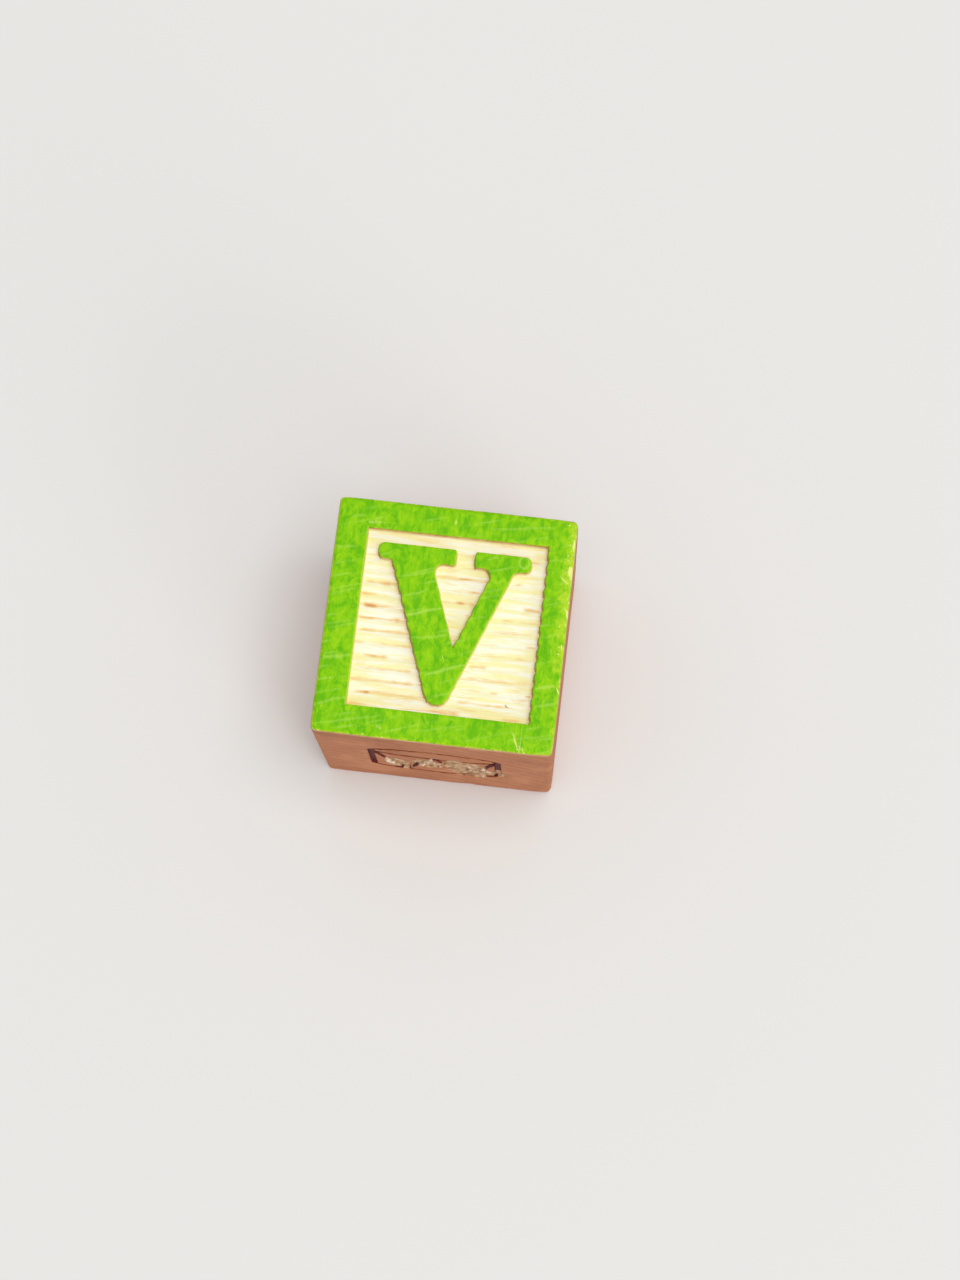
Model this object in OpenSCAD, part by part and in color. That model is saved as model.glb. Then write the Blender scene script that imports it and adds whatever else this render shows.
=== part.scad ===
// Wooden alphabet block: a solid cube with a raised, painted capital on one face, a raised, painted
// numeral on the opposite face, and a pressed picture in dark ink on each of the four sides.
// Millimetres. The origin is the centre of the face that it stands on, +Z is up, and the top of the
// capital points to +Y. The front side faces -Y.

/* [Block] */
// Length of each edge of the cube
block_side = 30; // [26:0.5:60]
// Radius of the twelve sanded edges
edge_round = 0.8; // [0.4:0.1:1.2]

/* [Borders] */
// Width of the raised border to the left of a field
left_border = 4; // [2.5:0.1:5.5]
// Width of the raised border to the right of a field
right_border = 3.2; // [2.5:0.1:5.5]
// Height of the raised border above a field
top_border = 3.7; // [2.5:0.1:5.5]
// Height of the raised border below a field
foot_border = 3.7; // [2.5:0.1:5.5]

/* [Routed fields] */
// Depth of the fields below their faces, to the crests of their ribs
field_depth = 1.3; // [0.8:0.1:3]
// Height of the plain strip under the upper wall of a field, at the least
plain_strip_h = 1.8; // [0.8:0.1:3]
// Height of the first groove above the lower wall of a field
groove_start = 0.55; // [0.5:0.05:1]
// Distance between neighbouring grooves
rib_pitch = 1.55; // [1.4:0.05:3]
// Width of the flat crest between two grooves
rib_crest = 0.6; // [0.3:0.05:0.8]
// Depth of the grooves
rib_dip = 0.2; // [0.1:0.05:0.3]
// How far each groove bites into the right wall
wall_bite = 0.15; // [0.05:0.05:0.3]

/* [Capital] */
// Clear floor to the left of the capital
letter_left_gap = 1.6; // [0.8:0.1:3]
// Clear floor to the right of the capital
letter_right_gap = 2; // [0.8:0.1:3]
// Clear floor above the capital
letter_top_gap = 1.7; // [0.8:0.1:3]
// Clear floor below the capital
letter_foot_gap = 1.1; // [0.8:0.1:3]
// Thickness of the serifs
serif_t = 2; // [1.7:0.1:3]
// Clear floor between the two serifs
serif_gap = 2.3; // [1.5:0.1:4]
// Share of the width of both serifs that the left one takes
left_serif_share = 0.58; // [0.54:0.01:0.62]
// How far the left serif reaches out beyond the thick stroke
left_overhang = 1.8; // [1.3:0.1:2.3]
// How far the right serif reaches out beyond the thin stroke
right_overhang = 2; // [1.6:0.1:2.4]
// Width of the thick left stroke, along X
thick_stroke = 5.1; // [4:0.1:6]
// Width of the thin right stroke, along X
thin_stroke = 2.6; // [1.6:0.1:3.2]
// How far the outer lines would run on below the rounded tip before they met
tip_drop = 3; // [2:0.1:4]
// How far the tip lies to the left of the middle
tip_shift = 0.3; // [-1:0.1:1]
// Radius of the outer ends of the serifs
serif_round = 0.8; // [0.4:0.1:0.9]
// Radius of the inner ends of the serifs
inner_round = 0.35; // [0.2:0.05:0.6]
// Radius of the brackets that run from the serifs into the strokes
bracket_round = 1; // [0.5:0.1:1.2]

/* [Numeral] */
// Clear floor on either side of the numeral
number_side_gap = 4.2; // [2:0.1:5.5]
// Clear floor above and below the numeral
number_end_gap = 1.8; // [0.8:0.1:3]

/* [Coats] */
// Thickness of the paint
paint_t = 0.12; // [0.08:0.02:0.3]
// How far the paint runs down over the edges of its face
paint_wrap = 0.6; // [0.4:0.1:1.5]
// Depth of the pressed picture lines
press_depth = 0.5; // [0.3:0.05:1]
// Width of the pressed picture lines
line_w = 0.85; // [0.6:0.05:1.1]
// Thickness of the ink on the floor of the pressed lines
ink_t = 0.1; // [0.06:0.02:0.2]

/* [Pictures] */
// Width of the drum on the front side
drum_w = 17; // [14:0.5:20]
// Height of the drum on the front side
drum_h = 15; // [13:0.5:18]
// Half height of the oval skin of the drum
drum_skin_r = 2.6; // [2.2:0.1:3]
// Width of the boat on the right side
boat_w = 17; // [14:0.5:20]
// Height of the boat on the right side, without the waves
boat_h = 14; // [12:0.5:16]
// Height of the waves under the boat, between their crests and troughs
wave_h = 1; // [0.6:0.1:1.4]
// Height from the keel of the boat down to the middle of the waves
wave_drop = 2; // [1.6:0.1:2.6]
// Radius of the star on the back side, to its points
star_r = 9; // [7:0.5:11]
// Length of the fish on the left side
fish_w = 18; // [15:0.5:21]
// Height of the body of the fish on the left side
fish_h = 9; // [8:0.5:12]
// Height of the tail of the fish
fish_tail_h = 7; // [6:0.5:10]
// Radius of the eye of the fish
fish_eye_r = 0.7; // [0.5:0.1:1]

/* [Hidden] */

// Cuts run past the surface that they open by this much
overrun = 1;
// Sides of a full turn on circles and round edges
$fn = 48;
// Straight steps that make up one rounded corner of an outline
corner_steps = 5;
// Straight steps that make up one curved line of a picture
curve_steps = 24;

// The four sides, as quarter turns from the front
front_turn = 0;
right_turn = 1;
back_turn = 2;
left_turn = 3;

// Radius of a circle whose arc is this deep over this chord
function arc_radius(chord, depth) = chord * chord / (8 * depth) + depth / 2;

// Straight line from a to b, at share s of the way
function between(a, b, s) = a + (b - a) * s;

// Angle of a vector
function heading(v) = atan2(v.y, v.x);

// Unit vector from a to b
function unit_to(a, b) = (b - a) / norm(b - a);

// Corner p of an outline, between its neighbours a and b, as points on an arc of radius r
function round_corner(a, p, b, r) =
    let (
        u = unit_to(p, a),
        v = unit_to(p, b),
        half = acos(u * v) / 2,
        middle = p + unit_to([0, 0], u + v) * r / sin(half),
        reach = r / tan(half),
        from = heading(p + u * reach - middle),
        sweep = (heading(p + v * reach - middle) - from + 540) % 360 - 180
    )
    [for (i = [0 : corner_steps])
        middle + r * [cos(from + sweep * i / corner_steps), sin(from + sweep * i / corner_steps)]];

// Outline from corners that are each [x, y, radius]
function rounded(corners) =
    let (n = len(corners), at = [for (c = corners) [c.x, c.y]])
    [for (i = [0 : n - 1])
        each corners[i][2] > 0
            ? round_corner(at[(i + n - 1) % n], at[i], at[(i + 1) % n], corners[i][2])
            : [at[i]]];

// Corners given as shares of a width and a height, with radii as shares of the width
function from_shares(shares, w, h) = [for (s = shares) [s.x * w, s.y * h, s[2] * w]];

// Normal to the left of the way from a to b
function left_of(a, b) = let (u = unit_to(a, b)) [-u.y, u.x];

// Corner p, moved by d to the left of the path that runs from a over p to b
function moved_corner(a, p, b, d) =
    let (m = left_of(a, p), n = left_of(p, b)) p + (m + n) * d / (1 + m * n);

// Closed path moved by d to its left
function moved_loop(path, d) =
    let (n = len(path))
    [for (i = [0 : n - 1]) moved_corner(path[(i + n - 1) % n], path[i], path[(i + 1) % n], d)];

// Open path moved by d to its left
function moved_path(path, d) =
    let (last = len(path) - 1)
    [for (i = [0 : last])
        i == 0 ? path[0] + left_of(path[0], path[1]) * d
        : i == last ? path[last] + left_of(path[last - 1], path[last]) * d
        : moved_corner(path[i - 1], path[i], path[i + 1], d)];

// Points on an oval, from one angle to another
function oval(centre, rx, ry, from, to) =
    [for (i = [0 : curve_steps])
        let (a = between(from, to, i / curve_steps)) centre + [rx * cos(a), ry * sin(a)]];

// Line of a picture that runs round a closed path, drawn anticlockwise
module closed_line(path) {
    difference() {
        polygon(moved_loop(path, -line_w / 2));
        polygon(moved_loop(path, line_w / 2));
    }
}

// Line of a picture that runs along an open path
module open_line(path) {
    back = moved_path(path, -line_w / 2);
    polygon(concat(moved_path(path, line_w / 2), [for (i = [len(back) - 1 : -1 : 0]) back[i]]));
}

// Places what is drawn on a face: X to its right, Y up it, Z out of it, from its middle
module on_top() {
    translate([0, 0, block_side]) children();
}

module on_bottom() {
    rotate([180, 0, 0]) children();
}

module on_side(turn) {
    translate([0, 0, block_side / 2])
        rotate([90, 0, 90 * turn])
            translate([0, 0, block_side / 2])
                children();
}

// Square with round corners
module round_square(side, r) {
    straight = side - 2 * r;
    union() {
        square([side, straight], center = true);
        square([straight, side], center = true);
        for (x = [-1, 1], y = [-1, 1])
            translate([x * straight / 2, y * straight / 2])
                circle(r);
    }
}

// Cube with all its edges rounded, centred on the origin
module round_cube(side, r) {
    intersection() {
        linear_extrude(side, center = true) round_square(side, r);
        rotate([90, 0, 0]) linear_extrude(side, center = true) round_square(side, r);
        rotate([0, 90, 0]) linear_extrude(side, center = true) round_square(side, r);
    }
}

// The whole block, with its edges rounded, before anything is cut
module blank() {
    translate([0, 0, block_side / 2]) round_cube(block_side, edge_round);
}

// Coat over a face, drawn from the middle of that face: it covers the face and wraps over its edges
module coat() {
    middle = -block_side / 2;
    difference() {
        intersection() {
            translate([0, 0, middle]) round_cube(block_side, edge_round);
            translate([-block_side, -block_side, -paint_wrap])
                cube([2 * block_side, 2 * block_side, paint_wrap + overrun]);
        }
        translate([0, 0, middle]) round_cube(block_side - 2 * paint_t, edge_round - paint_t);
    }
}

// Size of a routed field, and the middle of it from the middle of its face
field_w = block_side - left_border - right_border;
field_h = block_side - top_border - foot_border;
field_middle = [left_border - right_border, foot_border - top_border] / 2;

// Width of one groove, how many fit into a field, and their heights from its middle
groove_w = rib_pitch - rib_crest;
groove_count = 1 + floor((field_h - plain_strip_h - groove_start) / rib_pitch);
groove_heights = [for (i = [0 : groove_count - 1]) groove_start - field_h / 2 + i * rib_pitch];

// Outline of a routed field: straight on three sides, and bitten by each groove on the right
module field_outline() {
    bite_r = arc_radius(groove_w, wall_bite);
    translate(field_middle)
        intersection() {
            square([field_w, field_h], center = true);
            union() {
                translate([-field_w / 2 - overrun, -field_h / 2 - overrun])
                    square([field_w - wall_bite + overrun, field_h + 2 * overrun]);
                for (y = groove_heights)
                    translate([field_w / 2 - bite_r, y])
                        circle(bite_r);
            }
        }
}

// What the cutter clears above the ribbed floor, before it is trimmed to the field
module cleared() {
    groove_r = arc_radius(groove_w, rib_dip);
    run = field_w + 2 * overrun;
    translate([field_middle.x - run / 2, field_middle.y, -field_depth])
        rotate([90, 0, 90])
            linear_extrude(run) {
                translate([-field_h / 2 - overrun, 0])
                    square([field_h + 2 * overrun, field_depth + overrun]);
                for (y = groove_heights)
                    translate([y, groove_r - rib_dip])
                        circle(groove_r);
            }
}

// Pocket of a routed field, with the shape in children(0) left standing in it
module field_pocket() {
    bottom = -field_depth - rib_dip - overrun;
    difference() {
        intersection() {
            translate([0, 0, bottom]) linear_extrude(overrun - bottom) field_outline();
            cleared();
        }
        translate([0, 0, bottom - overrun]) linear_extrude(3 * overrun - bottom) children(0);
    }
}

// Size of the capital, and the middle of it from the middle of its face
letter_w = field_w - letter_left_gap - letter_right_gap;
letter_h = field_h - letter_top_gap - letter_foot_gap;
letter_middle = field_middle + [letter_left_gap - letter_right_gap, letter_foot_gap - letter_top_gap] / 2;

// Slab-serif capital V with a thick left stroke and a thin right one
module letter_outline() {
    top = letter_h / 2;
    under = top - serif_t;
    left = -letter_w / 2;
    right = letter_w / 2;
    left_serif_end = left + (letter_w - serif_gap) * left_serif_share;
    right_serif_end = left_serif_end + serif_gap;
    apex = [-tip_shift, -top - tip_drop];
    thick_out = [left + left_overhang, under];
    thin_out = [right - right_overhang, under];
    thick_in = thick_out + [thick_stroke, 0];
    thin_in = thin_out - [thin_stroke, 0];
    // The inner lines run beside the outer ones, and cross at the notch
    thick_lean = (apex.x - thick_out.x) / (under - apex.y);
    thin_lean = (apex.x - thin_out.x) / (under - apex.y);
    notch_drop = (thin_in.x - thick_in.x) / (thick_lean - thin_lean);
    notch = [thick_in.x + thick_lean * notch_drop, under - notch_drop];
    tip_half = (atan(thick_lean) - atan(thin_lean)) / 2;
    tip_round = tip_drop / (1 / sin(tip_half) - 1);
    // The inner brackets take no more than the length of serif that is left for them
    thick_room = left_serif_end - thick_in.x - inner_round;
    thin_room = thin_in.x - right_serif_end - inner_round;
    thick_bracket = min(bracket_round, thick_room * tan(45 - atan(thick_lean) / 2));
    thin_bracket = min(bracket_round, thin_room * tan(45 + atan(thin_lean) / 2));
    translate(letter_middle)
        polygon(rounded([
            [left, top, serif_round],
            [left, under, serif_round],
            [thick_out.x, thick_out.y, inner_round],
            [apex.x, apex.y, tip_round],
            [thin_out.x, thin_out.y, bracket_round],
            [right, under, serif_round],
            [right, top, serif_round],
            [right_serif_end, top, inner_round],
            [right_serif_end, under, inner_round],
            [thin_in.x, thin_in.y, thin_bracket],
            [notch.x, notch.y, 0],
            [thick_in.x, thick_in.y, thick_bracket],
            [left_serif_end, under, inner_round],
            [left_serif_end, top, inner_round]
        ]));
}

// Size of the numeral
number_w = field_w - 2 * number_side_gap;
number_h = field_h - 2 * number_end_gap;

// Corners of a slab-serif 4 and of the hole in it, with radii, as shares of its width and height
number_shares = [
    [-0.06, -0.5, 0.05], [0.5, -0.5, 0.05], [0.5, -0.4, 0.05], [0.36, -0.4, 0.03],
    [0.36, -0.27, 0.02], [0.5, -0.27, 0.04], [0.5, -0.14, 0.04], [0.36, -0.14, 0.02],
    [0.36, 0.5, 0.04], [0.14, 0.5, 0.05], [-0.5, -0.14, 0.04], [-0.5, -0.27, 0.04],
    [0.08, -0.27, 0.02], [0.08, -0.4, 0.03], [-0.06, -0.4, 0.05]
];
number_hole_shares = [[-0.28, -0.14, 0.02], [0.08, -0.14, 0], [0.08, 0.23, 0.02]];

// Plain numeral on the face opposite the capital
module number_outline() {
    translate(field_middle)
        difference() {
            polygon(rounded(from_shares(number_shares, number_w, number_h)));
            polygon(rounded(from_shares(number_hole_shares, number_w, number_h)));
        }
}

// Where the laces of the drum meet its rims, from left to right, as shares of half its width
lace_shares = [-0.96, -0.5, 0, 0.5, 0.96];

// Toy drum with an oval skin and laces that run down and up between its rims
module drum() {
    rx = (drum_w - line_w) / 2;
    ry = drum_skin_r - line_w / 2;
    skin_y = drum_h / 2 - drum_skin_r;
    knots = [for (i = [0 : len(lace_shares) - 1])
        let (s = lace_shares[i]) [s * rx, (i % 2 == 0 ? skin_y : -skin_y) - ry * sqrt(1 - s * s)]];
    closed_line(oval([0, skin_y], rx, ry, 0, 360 - 360 / curve_steps));
    open_line(concat([[-rx, skin_y]], oval([0, -skin_y], rx, ry, 180, 360), [[rx, skin_y]]));
    for (i = [1 : len(knots) - 1]) open_line([knots[i - 1], knots[i]]);
}

// Corners of the boat, as shares of its width and height
hull_shares = [[-0.5, -0.2], [-0.3, -0.5], [0.3, -0.5], [0.5, -0.2]];
main_sail_shares = [[0.03, -0.06], [0.42, -0.06], [0.03, 0.5]];
fore_sail_shares = [[-0.4, -0.06], [-0.08, -0.06], [-0.08, 0.34]];

// Number of waves under the boat
wave_count = 3;

// Sailing boat with two sails, over a line of waves
module boat() {
    wide = boat_w - line_w;
    high = boat_h - line_w;
    translate([0, wave_drop / 2]) {
        for (shares = [hull_shares, main_sail_shares, fore_sail_shares])
            closed_line([for (s = shares) [s.x * wide, s.y * high]]);
        open_line([for (i = [0 : curve_steps])
            let (s = i / curve_steps)
            [(s - 0.5) * wide, -high / 2 - wave_drop + wave_h / 2 * cos(360 * wave_count * s)]]);
    }
}

// Number of points of the star, and the radius to its notches as a share of that to its points
star_points = 5;
star_notch_share = 0.48;

// Five-pointed star
module star() {
    turn = 180 / star_points;
    half = atan(star_notch_share * sin(turn) / (1 - star_notch_share * cos(turn)));
    middle_r = star_r - line_w / 2 / sin(half);
    closed_line([for (i = [0 : 2 * star_points - 1])
        middle_r * (i % 2 == 0 ? 1 : star_notch_share) * [cos(90 + i * turn), sin(90 + i * turn)]]);
}

// Length of the tail of the fish, and the place of its eye from its nose, as shares of its length
fish_tail_share = 0.26;
fish_eye_share = 0.2;

// Fish that faces left
module fish() {
    length = fish_w - line_w;
    half_h = (fish_h - line_w) / 2;
    half_tail = (fish_tail_h - line_w) / 2;
    nose = -length / 2;
    body = length * (1 - fish_tail_share);
    // Each side of the body is one arc, from the nose to the root of the tail
    side_r = arc_radius(body, half_h);
    reach = asin(body / 2 / side_r);
    below = [for (i = [0 : curve_steps])
        let (a = 270 + between(-reach, reach, i / curve_steps))
        [nose + body / 2 + side_r * cos(a), side_r - half_h + side_r * sin(a)]];
    above = [for (i = [curve_steps - 1 : -1 : 1]) [below[i].x, -below[i].y]];
    closed_line(concat(below, above));
    closed_line([[nose + body, 0], [length / 2, -half_tail], [length / 2, half_tail]]);
    translate([nose + length * fish_eye_share, 0]) circle(fish_eye_r);
}

// Picture of one side, by its number of quarter turns from the front
module picture(turn) {
    if (turn == front_turn) drum();
    if (turn == right_turn) boat();
    if (turn == back_turn) star();
    if (turn == left_turn) fish();
}

// Groove that a picture is pressed into
module pressed(turn) {
    on_side(turn)
        translate([0, 0, -press_depth])
            linear_extrude(press_depth + overrun)
                picture(turn);
}

// Ink on the floor of a pressed picture
module ink(turn) {
    on_side(turn)
        translate([0, 0, -press_depth])
            linear_extrude(ink_t)
                picture(turn);
}

// Solid wooden cube
module wood_block() {
    color("burlywood")
        difference() {
            blank();
            on_top() coat();
            on_bottom() coat();
            on_top() field_pocket() letter_outline();
            on_bottom() field_pocket() number_outline();
            for (turn = [front_turn, right_turn, back_turn, left_turn]) pressed(turn);
        }
}

// Coat on the raised border, open over the routed field
module border_paint() {
    difference() {
        coat();
        translate([0, 0, -field_depth])
            linear_extrude(field_depth + overrun)
                field_outline();
    }
}

// Green coat on the border of the letter face
module letter_border_paint() {
    color("yellowgreen") on_top() border_paint();
}

// Green coat on the capital
module letter_paint() {
    color("yellowgreen")
        on_top()
            translate([0, 0, -paint_t])
                linear_extrude(paint_t)
                    letter_outline();
}

// Red coat on the border of the number face
module number_border_paint() {
    color("firebrick") on_bottom() border_paint();
}

// Red coat on the numeral
module number_paint() {
    color("firebrick")
        on_bottom()
            translate([0, 0, -paint_t])
                linear_extrude(paint_t)
                    number_outline();
}

// Dark ink in the drum
module front_picture_ink() {
    color("maroon") ink(front_turn);
}

// Dark ink in the boat
module right_picture_ink() {
    color("maroon") ink(right_turn);
}

// Dark ink in the star
module back_picture_ink() {
    color("maroon") ink(back_turn);
}

// Dark ink in the fish
module left_picture_ink() {
    color("maroon") ink(left_turn);
}

wood_block();
letter_border_paint();
letter_paint();
number_border_paint();
number_paint();
front_picture_ink();
right_picture_ink();
back_picture_ink();
left_picture_ink();
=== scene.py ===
"""Looks of the alphabet block: its wood, paint and ink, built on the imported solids.

Lengths are in millimetres until a mesh is made. Each face of the block has its own coordinates:
u to its right, v up it and w out of it, from the middle of that face.
"""

import math

import bpy
import numpy as np
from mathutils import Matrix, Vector
from mathutils.geometry import delaunay_2d_cdt


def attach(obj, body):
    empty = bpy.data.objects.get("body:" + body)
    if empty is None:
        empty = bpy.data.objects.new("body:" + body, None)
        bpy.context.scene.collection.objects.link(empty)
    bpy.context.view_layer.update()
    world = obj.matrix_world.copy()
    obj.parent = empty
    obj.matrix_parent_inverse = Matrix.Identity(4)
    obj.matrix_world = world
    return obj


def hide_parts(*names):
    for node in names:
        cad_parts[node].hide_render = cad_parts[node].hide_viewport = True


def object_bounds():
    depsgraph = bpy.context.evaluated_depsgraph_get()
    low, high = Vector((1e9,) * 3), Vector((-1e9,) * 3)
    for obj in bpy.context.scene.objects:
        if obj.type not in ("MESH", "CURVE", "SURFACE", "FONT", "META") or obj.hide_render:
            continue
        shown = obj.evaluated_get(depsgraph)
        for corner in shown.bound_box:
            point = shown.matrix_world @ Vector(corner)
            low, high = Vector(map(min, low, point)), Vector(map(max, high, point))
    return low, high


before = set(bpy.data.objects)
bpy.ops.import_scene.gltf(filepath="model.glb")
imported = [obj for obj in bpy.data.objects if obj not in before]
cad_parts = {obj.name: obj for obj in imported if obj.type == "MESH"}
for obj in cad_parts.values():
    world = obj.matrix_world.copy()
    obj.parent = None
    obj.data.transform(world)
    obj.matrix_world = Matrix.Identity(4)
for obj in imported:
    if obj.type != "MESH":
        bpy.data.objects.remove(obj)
cad_low, cad_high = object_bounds()

MM = 0.001
SIDE = (cad_high.x - cad_low.x) / MM
HALF = SIDE / 2

TOP, BOTTOM = "top", "bottom"
FRONT, RIGHT, BACK, LEFT = range(4)
BORDERS = {TOP: "letter_border_paint", BOTTOM: "number_border_paint"}
GLYPHS = {TOP: "letter_paint", BOTTOM: "number_paint"}
PICTURES = {FRONT: "front_picture_ink", RIGHT: "right_picture_ink", BACK: "back_picture_ink",
            LEFT: "left_picture_ink"}

# Materials of the wood, in the order of its slots
WOOD_SIDE, WOOD_FIELD, WOOD_WALL = range(3)

# Steps from point to point along outlines
FIELD_STEP, GLYPH_STEP = 0.22, 0.16
COAT_FIELD_STEP, COAT_GLYPH_STEP = 0.16, 0.14
PICTURE_STEP = 0.25
# Steps over surfaces along u and v, and the margin that their points keep from the outlines
FLOOR_STEPS, FLOOR_MARGIN = (0.3, 0.1), 0.07
COAT_STEPS, COAT_MARGIN = (0.135, 0.135), 0.06
SIDE_STEPS, TORN_STEPS, SIDE_MARGIN = (0.42, 0.42), (0.18, 0.18), 0.1
BED_STEPS, BED_MARGIN = (0.3, 0.3), 0.12
# Steps along one side of a face and round one of its corners, rows down its rounded edge, and
# steps up a bare side
STEPS_SIDE = 130
STEPS_CORNER = 8
PER_SIDE = STEPS_SIDE + STEPS_CORNER
ARRIS_ROWS = 8
SIDE_LEVELS = 110

# The cut floor of a field, its grooves and the plain strip above them
FLOOR_W = -1.3
GROOVES = 14
PITCH = 1.55
GROOVE_START = 0.55
GROOVE_DEPTH = 0.17
GROOVE_HALF = 0.55
GROOVE_WANDER = 0.07
CROWN_H = 0.03
PLAIN_STRIP = 2.0
# Unevenness: of the walls and how far it sets them back, of the glyphs' outlines with the bites
# of the cutter in them, of the bare sides, of the paint, and the least and the further depth of
# torn grain
WALL_RELIEF, WALL_BACK = 0.015, 0.016
GLYPH_UNEVEN, BITE_DEPTH = 0.03, 0.15
LAND_RELIEF, PAINT_RELIEF = 0.012, 0.005
TORN_DEPTH, TORN_ROUGH = 0.1, 0.34

# The step that the wood leaves for a coat, the depth of the coat's under side, how far its face
# stays below the block's, and the depth on a wall from which its ragged end is counted
COAT_T = 0.09
COAT_UNDER = 0.98 * COAT_T
PAINT_DIP = 0.012
COAT_END = 0.12
# Angle down the rounded edge at which the paint stops, in degrees, with its limits, and how much
# further it runs on the right
PAINT_END, PAINT_END_LIMITS, PAINT_END_RIGHT = 76, (56, 88), 9

# The floor of the pressed lines, and the ink on it
PRESS_W = -0.5
INK_RISE = 0.03
INK_T = 0.035

# Walls, row by row from the land down: how far a row lies past the edge, and its height, or None
# where it follows the floor. The walls of fields and glyphs are rough from one row on and reach
# the floor at another, which rises a little above it:
WALL_ROWS = [(-0.16, -COAT_T), (-0.06, -COAT_T - 0.01), (-0.01, -COAT_T - 0.07), (0.0, -0.32),
             (0.0, -0.6), (0.0, -0.9), (0.03, None), (0.1, None)]
WALL_ROUGH, WALL_FOOT, FOOT_RISE = 2, 6, 0.09
# The soft shoulders and walls of the pressed lines:
PRESS_ROWS = [(-0.14, 0.0), (-0.06, -0.012), (-0.01, -0.06), (0.02, -0.2), (0.04, -0.38), (0.1, None)]
# The rim of a coat, with its share of wear. Its last row ends raggedly.
COAT_ROWS = [(-0.3, 0.0, 0.0), (-0.15, -0.008, 0.05), (-0.06, -0.03, 0.4), (-0.01, -0.075, 0.8),
             (0.025, -0.13, 1.0), (0.03, None, 1.0)]
# The ink of the pressed lines: how far a row lies past the edge, how far its under side lies
# behind it, its thickness and its wear. The second row has a height of its own.
INK_ROWS = [(0.035, 0.02, 0.0, 1.0), (0.055, 0.02, INK_T, 0.4), (0.12, 0.0, INK_T, 0.0)]
INK_WALL_W = -0.34

# Wear of the block's edges and corners: how far in it starts, and its depths. The corners go by
# their quarter as seen from above: the right ones are rounder than the left ones.
EDGE_WEAR, CORNER_WEAR = 1.5, 3.0
RUB_DEPTH, DENT_DEPTH = 0.07, 0.09
FRONT_RIGHT_DEPTH, BACK_RIGHT_DEPTH, LEFT_DEPTH = 0.16, 0.10, 0.04

# Torn brown streaks in the letter's field: number of the groove from below, both ends along u,
# and strength
STREAKS = [
    (10, -10.8, -6.9, 0.8), (8, -10.9, -7.3, 0.75), (7, -6.9, -5.2, 0.8), (6, -10.8, -8.1, 0.8),
    (6, -5.9, -4.4, 0.6), (5, -6.3, -3.5, 0.6), (4, -9.9, -6.5, 0.8), (3, -5.6, -3.1, 0.65),
    (2, -9.9, -2.5, 0.6), (1, -10.4, -8.1, 1.1), (0, -1.6, 3.2, 0.6), (0, 8.0, 10.7, 0.7),
    (11, 0.4, 3.5, 0.6), (10, 2.0, 4.3, 0.6), (9, 0.4, 3.7, 0.8), (8, 2.1, 3.3, 0.5),
    (11, 7.5, 9.2, 0.45), (9, 9.0, 11.8, 0.7), (8, 6.5, 8.3, 0.65), (6, 9.9, 11.8, 0.65),
    (5, 7.7, 9.0, 0.4), (4, 3.1, 5.9, 0.65), (2, 5.8, 7.9, 0.45), (2, 10.6, 11.9, 0.7),
    (1, 2.5, 4.1, 0.5), (1, 5.6, 8.8, 0.75), (12, 8.9, 10.4, 0.3), (7, 7.6, 9.8, 0.35),
]
# The streaks of the number's field are drawn by lot
STREAK_LOTS, STREAK_SEED = 26, 7

# Marks on the letter face, each with both of its ends, its half width and its strength.
# Pale saw lines in the paint:
SAW_LINES = [
    (-6.6, 5.4, -1.7, 6.6, 0.13, 0.6), (-5.8, 2.9, -2.5, 4.1, 0.14, 0.6),
    (-5.2, 0.5, -0.7, 2.0, 0.17, 1.0), (-3.9, -2.2, 0.6, -1.4, 0.15, 0.6),
    (-1.7, -6.5, 3.2, -4.8, 0.16, 0.95), (4.0, 4.4, 6.4, 5.2, 0.13, 0.5),
    (2.4, 0.7, 4.8, 1.5, 0.12, 0.5), (-14.9, -5.9, -11.2, -5.2, 0.2, 0.75),
    (-14.9, -11.8, -11.1, -10.4, 0.15, 0.7), (-14.8, 8.2, -12.0, 8.8, 0.15, 0.5),
    (-14.5, 2.2, -11.4, 3.4, 0.14, 0.5), (-14.8, -1.6, -11.3, -0.6, 0.12, 0.45),
    (12.0, -6.9, 14.5, -6.1, 0.17, 1.0), (12.2, -9.1, 14.9, -8.2, 0.15, 0.8),
    (12.1, -0.3, 14.8, 0.6, 0.13, 0.5), (12.2, 3.8, 14.9, 4.7, 0.12, 0.45),
    (4.3, 12.6, 12.0, 13.7, 0.13, 0.6), (-14.2, -14.1, -6.5, -12.2, 0.14, 0.55),
    (-3.0, -13.9, 3.6, -12.4, 0.12, 0.4), (-13.2, 12.3, -11.4, 12.9, 0.14, 0.6),
    (9.2, -13.6, 14.4, -12.3, 0.12, 0.5),
]
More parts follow.
